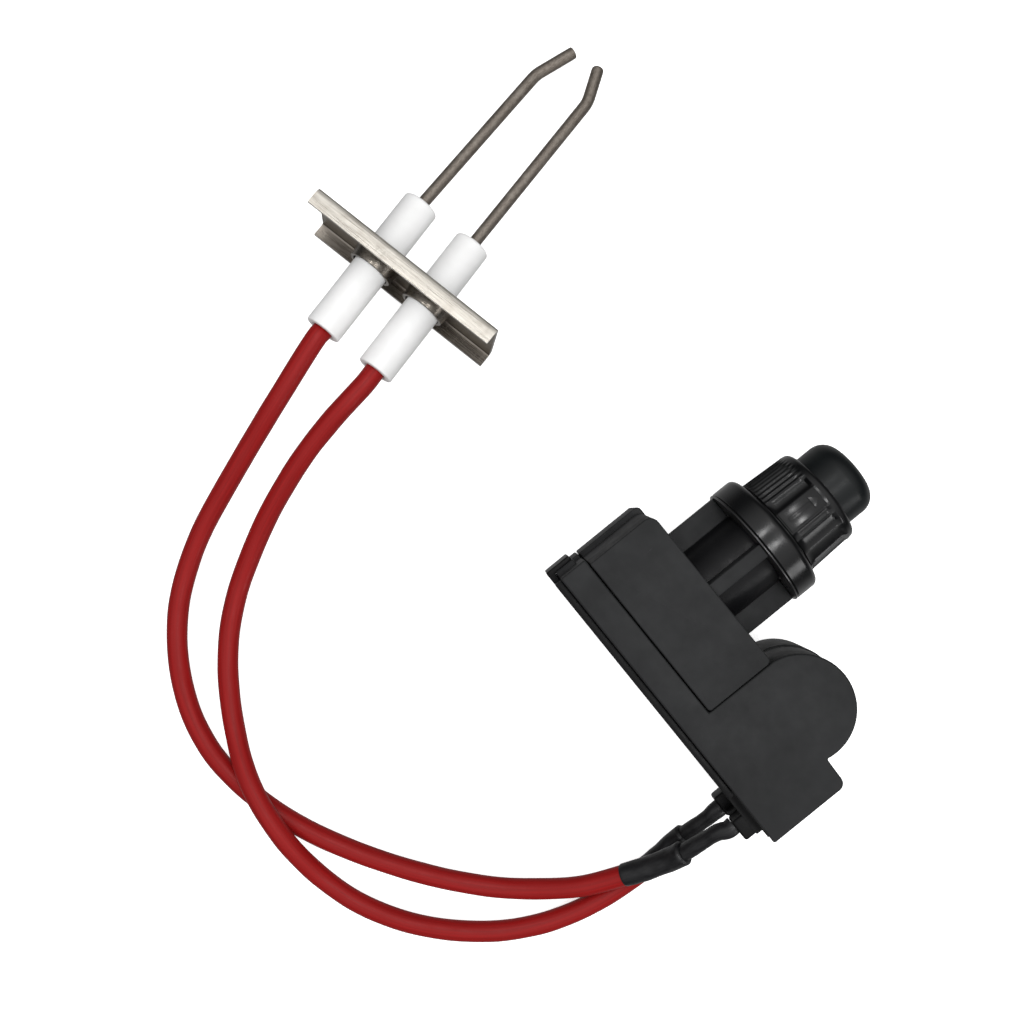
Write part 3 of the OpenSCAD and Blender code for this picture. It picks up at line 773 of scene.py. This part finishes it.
def make_boots():
    """Square boots round the outputs, softly rounded, each with a hole for its output pin."""
    for letter, (a, b) in (("a", LOW_BOOT), ("b", HIGH_BOOT)):
        boot = bevel(brick("boot_" + letter, a, b), 0.5 * MM, 4)
        middle = (a + b) / 2
        cut(boot, put(plug("hole", 0.75 * MM, a.y + 0.8 * MM, b.y + MM, 32), middle.x, 0, middle.z))
        tidy_mesh(boot)
        finish_piece(boot, "igniter", "cover_plastic", "lead_post_" + letter)


# ---------------------------------------------------------------- cap, washer and button

def make_washer():
    """Thin ring with broken outer edges."""
    r1, r0 = (washer_hi.x - washer_lo.x) / 2, 7.9 * MM
    y0, y1 = washer_lo.y, washer_hi.y
    e = 0.14 * MM
    profile = [(r0, y0), (r1 - e, y0), (r1, y0 + e), (r1, y1 - e), (r1 - e, y1), (r0, y1)]
    finish_piece(on_neck(lathe("seal_ring", profile, 128)), "washer", "washer_rubber", "seal_washer")


# Angles round the cap, in degrees from the top towards +X: a pad, a smooth flute on one side of it and wide
# flutes on the other, repeated on the far half, and fine ribs between.
PAD_SPAN = (-18.5, 6)
RIDGES = (17, 35.5, 58, 78)
FINE_RIBS = (-92, -35)


def grip_depth(angle):
    """How far the grip lies below its ridges at an angle, in millimetres."""
    a = (angle + 92) % 180 - 92
    if FINE_RIBS[0] <= a <= FINE_RIBS[1]:
        turn = (a - FINE_RIBS[0]) / (FINE_RIBS[1] - FINE_RIBS[0]) * 9
        return 0.30 * (0.5 - 0.5 * math.cos(math.tau * turn)) ** 0.7
    if FINE_RIBS[1] < a < PAD_SPAN[0] + 1:
        u = (a - FINE_RIBS[1]) / (PAD_SPAN[0] + 1 - FINE_RIBS[1])
        return 0.75 * math.sin(math.pi * min(1, u)) ** 0.6
    if a <= PAD_SPAN[1] + 2:
        return 0.12
    stops = (PAD_SPAN[1] + 2,) + RIDGES + (88,)
    for low, high in zip(stops, stops[1:]):
        if low <= a < high:
            u = (a - low) / (high - low)
            return 0.12 + 0.42 * math.sin(math.pi * u) ** 0.55
    return 0.0


def make_cap():
    """Screw cap: collar with a rounded rim, a groove, the ribbed grip and a smooth top band."""
    y0, y1 = cap_lo.y, cap_hi.y
    collar = y0 + 4.6 * MM
    grip = collar + 0.55 * MM
    ribs_end = y1 - 1.55 * MM
    r_low, r_high = 9.8 * MM, 9.3 * MM
    rim = 1.15 * MM

    def grip_r(y):
        return r_low + (r_high - r_low) * (y - grip) / (y1 - grip)

    outer = [(COLLAR_R - 0.25 * MM, y0), (COLLAR_R, y0 + 0.25 * MM)]
    outer += [(COLLAR_R - rim + r, collar - rim + y) for r, y in arc((0, 0), rim, 0, 90, 8)]
    groove = ((0.15, collar), (0.45, collar - 0.35 * MM), (0.6, collar + 0.1 * MM), (0.5, grip - 0.1 * MM))
    outer += [(r_low - depth * MM, y) for depth, y in groove]
    spans = 14
    outer += [(grip_r(y), y) for y in (grip + (ribs_end - grip) * i / spans for i in range(spans + 1))]
    outer += [(grip_r(ribs_end), ribs_end + 0.25 * MM)]
    top = 0.95 * MM
    outer += [(grip_r(y1) - top + r, y1 - top + y) for r, y in arc((0, 0), top, 0, 90, 7)]
    button_bore, room_r = 7.48 * MM, 8.3 * MM
    inner = [(button_bore + 0.25 * MM, y1), (button_bore, y1 - 0.25 * MM),
             (button_bore, FLANGE_TOP + 0.3 * MM), (room_r, FLANGE_TOP + 0.25 * MM), (room_r, NECK_END),
             (CAP_BORE_R, NECK_END), (CAP_BORE_R, y0 + 0.3 * MM), (CAP_BORE_R + 0.3 * MM, y0)]

    def shape(r, y, a):
        """Cuts the ribs and flutes into the grip's outer face, and fades them at its ends."""
        if not grip - 0.05 * MM <= y <= ribs_end + 0.05 * MM or r < 8.6 * MM:
            return r
        angle = 90 - math.degrees(a)
        fine = (angle + 92) % 180 - 92 <= FINE_RIBS[1]
        fade = min(1, (ribs_end - y) / ((1.5 if fine else 0.45) * MM), (y - grip) / (0.3 * MM) + 0.35)
        return r - max(0, fade) * grip_depth(angle) * MM

    cap = lathe("screw_cap", outer + inner, 960, shape, smooth_angle=42)
    finish_piece(on_neck(cap), "cap", "cap_plastic", "cap_nut")
    make_pad(grip, ribs_end, grip_r)


def make_pad(grip, ribs_end, grip_r):
    """Raised pad on the grip with a plain arrow that points to the button."""
    def on_grip(angle, y, lift):
        a = math.radians(angle)
        r = grip_r(y) + lift
        return Vector((r * math.sin(a), y, NECK_Z + r * math.cos(a)))

    def slab(name, outline):
        """A plate on the grip over an outline of (angle, y) points, as high as the arrow."""
        n = len(outline)
        verts = [on_grip(a, y, lift) for lift in (0, 0.36 * MM) for a, y in outline]
        sides = [(i, (i + 1) % n, n + (i + 1) % n, n + i) for i in range(n)]
        plate = add_object(name, verts, [tuple(range(n))[::-1], tuple(range(n, 2 * n))] + sides)
        finish_piece(bevel(plate, 0.08 * MM, 2, 50), "cap", "cap_plastic")

    y0, y1 = grip + 0.25 * MM, ribs_end - 0.3 * MM
    middle = sum(PAD_SPAN) / 2
    columns = 12
    step = (PAD_SPAN[1] - PAD_SPAN[0]) / columns
    verts, faces = [], []
    for lift in (-0.5 * MM, 0.16 * MM):
        for y in (y0, y1):
            verts += [on_grip(PAD_SPAN[0] + step * i, y, lift) for i in range(columns + 1)]
    row = columns + 1
    for i in range(columns):
        for a, b in ((0, 1), (3, 2), (2, 0), (1, 3)):
            faces.append((a * row + i, a * row + i + 1, b * row + i + 1, b * row + i))
    for i in (0, columns):
        faces.append((i, row + i, 3 * row + i, 2 * row + i))
    pad = bevel(add_object("cap_pad", verts, faces), 0.12 * MM, 2, 50)
    finish_piece(pad, "cap", "cap_plastic")
    reach = y1 - y0
    tip, barbs = y1 - 0.04 * reach, y1 - 0.26 * reach
    tail, neck = y0 + 0.12 * reach, y1 - 0.27 * reach
    wide, slim = 7, 2.4
    slab("arrow_head", [(middle - wide, barbs), (middle + wide, barbs), (middle, tip)])
    slab("arrow_shaft", [(middle - slim, tail), (middle + slim, tail),
                         (middle + slim, neck), (middle - slim, neck)])


def make_button():
    """Push button: hollow, slightly domed, with a broad rounded rim and a flange inside the cap."""
    y0, y1 = button_lo.y, button_hi.y
    r = 7.35 * MM
    rim = 3.3 * MM
    dome = 0.25 * MM
    flange = 8.0 * MM
    outer = [(flange - 0.05 * MM, y0), (flange, y0 + 0.1 * MM), (flange, FLANGE_TOP - 0.1 * MM),
             (flange - 0.1 * MM, FLANGE_TOP), (r, FLANGE_TOP), (r, y1 - dome - rim)]
    outer += [(r - rim + a, y1 - dome - rim + b) for a, b in arc((0, 0), rim, 0, 84, 14)][1:]
    outer += [(2.2 * MM, y1 - 0.06 * MM), (0, y1)]
    ceiling = DISC_Y + 0.5 * MM
    inner = [(0, ceiling), (CELL_BORE_R, ceiling), (CELL_BORE_R, y0)]
    button = lathe("button", outer + inner, 128)
    finish_piece(on_neck(button), "button", "button_plastic", "push_button")


def make_button_spring():
    """Return spring under the button's flange, with closed ends."""
    low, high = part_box("button_spring")
    wire, turns = 0.3 * MM, 3.6
    height = high.y - low.y
    count = int(turns * 40)
    path = []
    for i in range(count + 1):
        f = i / count
        lift = min(1, max(0, (f - 0.16) / 0.68))
        a = math.tau * turns * f
        path.append(Vector((SPRING_R * math.cos(a), low.y + wire + (height - 2 * wire) * lift,
                            NECK_Z + SPRING_R * math.sin(a))))
    spring = sweep("return_spring", path, wire, sides=12)
    finish_piece(spring, "cap", "spring_steel", "button_spring")
    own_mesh(spring)


# ---------------------------------------------------------------- electrode block

def channel_profile():
    """Closed outline of the folded sheet in (depth, height), from the rear edge of the lower flange."""
    h, w, r, t = 9.2 * MM, 3.4 * MM, 1.3 * MM, SHEET_T
    outside = [(-w, -h)] + arc((-r, -h + r), r, 270, 360, 6) + arc((-r, h - r), r, 0, 90, 6) + [(-w, h)]
    q = max(r - t, 0.2 * MM)
    inside = [(-w, h - t)] + arc((-t - q, h - t - q), q, 90, 0, 4) + arc((-t - q, -h + t + q), q, 0, -90, 4)
    return outside + inside + [(-w, -h + t)]


def make_bracket():
    """Folded channel with two screw holes, turned a little, and a collar round each insulator."""
    half = 20.1 * MM
    profile = channel_profile()
    n = len(profile)
    verts = [(x, y, z) for x in (-half, half) for y, z in profile]
    sides = [(i, (i + 1) % n, n + (i + 1) % n, n + i) for i in range(n)]
    sheet = add_object("bracket_sheet", verts, [tuple(range(n))[::-1], tuple(range(n, 2 * n))] + sides)
    for side, r in ((HOLE_X, SCREW_HOLE_R), (PAIR_X, CERAMIC_HOLE_R)):
        for x in (-side, side):
            cut(sheet, put(plug("hole", r, -3 * MM, 2 * MM, 64), x, 0, 0))
    for v in sheet.data.vertices:  # the upper flange's left end stands proud
        if v.co.x < -half + 0.1 * MM and v.co.z > 8.3 * MM:
            v.co.x -= 0.15 * MM
    bevel(sheet, 0.12 * MM, 2, 50)
    sheet.matrix_world = BLOCK @ Matrix.Rotation(math.radians(-0.6), 4, "Z")
    finish_piece(sheet, "igniter", "stainless_sheet", "bracket")
    make_collar("collar_b", -PAIR_X)
    make_collar("collar_a", PAIR_X)


def make_collar(name, x):
    """Collar drawn from the web: it flares at the sheet, and a thin lip stands round the ceramic."""
    seat, r0, r1 = CERAMIC_R + 0.08 * MM, CERAMIC_R + 0.3 * MM, CERAMIC_R + 0.9 * MM
    flare, lip = r1 + 1.1 * MM, -4.0 * MM
    profile = [(flare, -0.78 * MM), (r1 + 0.55 * MM, -1.0 * MM), (r1 + 0.28 * MM, -1.5 * MM),
               (r1 + 0.12 * MM, -2.4 * MM), (r1, lip), (r1 - 0.1 * MM, lip - 0.08 * MM),
               (r0 + 0.06 * MM, lip - 0.06 * MM), (r0, lip), (r0, -1.6 * MM), (seat, -1.0 * MM),
               (seat, -0.3 * MM), (r0 + 0.5 * MM, -0.02 * MM), (flare, -0.02 * MM)]
    collar = lathe(name, profile, 96)
    collar.matrix_world = BLOCK @ Matrix.Translation((x, 0, 0))
    finish_piece(collar, "igniter", "stainless_sheet")


def make_insulators():
    """Ceramic tubes with softly rounded ends; the back end is opened out for the lead."""
    r, y0, y1 = CERAMIC_R, CERAMIC_BACK, CERAMIC_FRONT
    back_edge, front_edge = 0.32 * MM, 0.55 * MM
    bore, mouth, step = ROD_R + 0.08 * MM, LEAD_R + 0.12 * MM, y0 + 10 * MM
    profile = arc((r - back_edge, y0 + back_edge), back_edge, 270, 360, 5)
    profile += arc((r - front_edge, y1 - front_edge), front_edge, 0, 90, 7)
    profile += [(bore + 0.25 * MM, y1), (bore, y1 - 0.25 * MM), (bore, step), (mouth, step),
                (mouth, y0 + 0.3 * MM), (mouth + 0.3 * MM, y0)]
    for letter, side in (("a", 1), ("b", -1)):
        tube = lathe("ceramic_" + letter, profile, 128)
        tube.matrix_world = on_insulator(side)
        finish_piece(tube, "igniter", "ceramic", "insulator_" + letter)


# Side, toe and bend in degrees, then straight length, bent leg and the rounding of its tip in millimetres.
RODS = {
    "a": (1, -1.1, 20.5, 45.9, 6.1, 0.65),
    "b": (-1, 3, 17.3, 44.2, 7.5, 0.14),
}


def make_rods():
    """Spark rods: straight through the insulator, turned a little by toe, with a short bent end."""
    for letter, (side, toe, bend, straight, leg, blunt) in RODS.items():
        toe, bend = math.radians(toe), math.radians(bend)
        along = Vector((-side * math.sin(toe), math.cos(toe), 0))
        inward = Vector((-side * math.cos(toe), -math.sin(toe), 0))
        front = Vector((0, CERAMIC_FRONT, 0))
        start = Vector((0, CERAMIC_BACK + 4 * MM, 0))
        turn = front + (straight * MM - CERAMIC_FRONT) * along
        path = [start, (start + front) / 2, front]
        path += [front + (turn - front) * i / 6 for i in range(1, 7)]
        path += [turn + ROD_TURN_R * (math.sin(a) * along + (1 - math.cos(a)) * inward)
                 for a in (bend * i / 10 for i in range(1, 11))]
        final = math.cos(bend) * along + math.sin(bend) * inward
        corner = path[-1]
        path += [corner + final * leg * MM * i / 5 for i in range(1, 6)]
        rod = sweep("rod_" + letter, path, ROD_R, sides=32)
        bevel(rod, blunt * MM, 5, 60)
        rod.matrix_world = on_insulator(side)
        finish_piece(rod, "igniter", "electrode_rod", "electrode_" + letter)


# ---------------------------------------------------------------- all pieces, floor and light

make_shells()
make_battery_block()
make_thread()
make_base_cover()
make_boots()
make_washer()
make_cap()
make_button()
make_button_spring()
make_bracket()
make_insulators()
make_rods()


def make_world():
    """Soft light, strongest straight above and weakest at the horizon, with a faint glow from below."""
    world = bpy.data.worlds.new("studio")
    bpy.context.scene.world = world
    world.use_nodes = True
    tree = world.node_tree
    background = tree.nodes["Background"].inputs
    where = tree.nodes.new("ShaderNodeTexCoord")
    split = tree.nodes.new("ShaderNodeSeparateXYZ")
    total = tree.nodes.new("ShaderNodeMath")
    tree.links.new(where.outputs["Generated"], split.inputs[0])
    sky, glow = (0.12, 1.0, 0.06, 1.35), (-0.05, -0.6, 0, 0.4)
    for side, values in enumerate((sky, glow)):
        level = tree.nodes.new("ShaderNodeMapRange")
        level.interpolation_type = "SMOOTHSTEP"
        for socket, value in zip(("From Min", "From Max", "To Min", "To Max"), values):
            level.inputs[socket].default_value = value
        tree.links.new(split.outputs["Z"], level.inputs["Value"])
        tree.links.new(level.outputs["Result"], total.inputs[side])
    tree.links.new(total.outputs["Value"], background["Strength"])
    background["Color"].default_value = (1, 1, 1, 1)


def add_softbox(name, place, size, energy):
    data = bpy.data.lights.new(name, "AREA")
    data.size = size
    data.energy = energy
    light = bpy.data.objects.new(name, data)
    bpy.context.scene.collection.objects.link(light)
    light.location = place
    light.rotation_euler = (-light.location).to_track_quat("-Z", "Y").to_euler()


def make_stage():
    reach = 3
    corners = [(-reach, -reach), (reach, -reach), (reach, reach), (-reach, reach)]
    floor = add_object("floor", [(x, y, 0) for x, y in corners], [(0, 1, 2, 3)])
    wall = add_object("backdrop", [(x, y, z) for z in (0, reach) for x, y in corners],
                      [(i, i + 4, (i + 1) % 4 + 4, (i + 1) % 4) for i in range(4)])
    look = Look("floor", (0.93, 0.93, 0.93), 0.9, Emission_Strength=0.7)
    for sheet in (floor, wall):
        sheet.data.materials.append(look.material)
        sheet.visible_diffuse = False
        sheet.visible_glossy = False
    wall.visible_shadow = False
    make_world()
    add_softbox("left_box", (-0.17, 0.10, 0.58), 0.07, 0.35)
    add_softbox("right_box", (0.12, 0.10, 0.59), 0.08, 0.5)
    add_softbox("side_box", (0.60, 0.10, 0.20), 0.2, 0.7)


make_stage()
bpy.context.scene.view_settings.view_transform = "Standard"
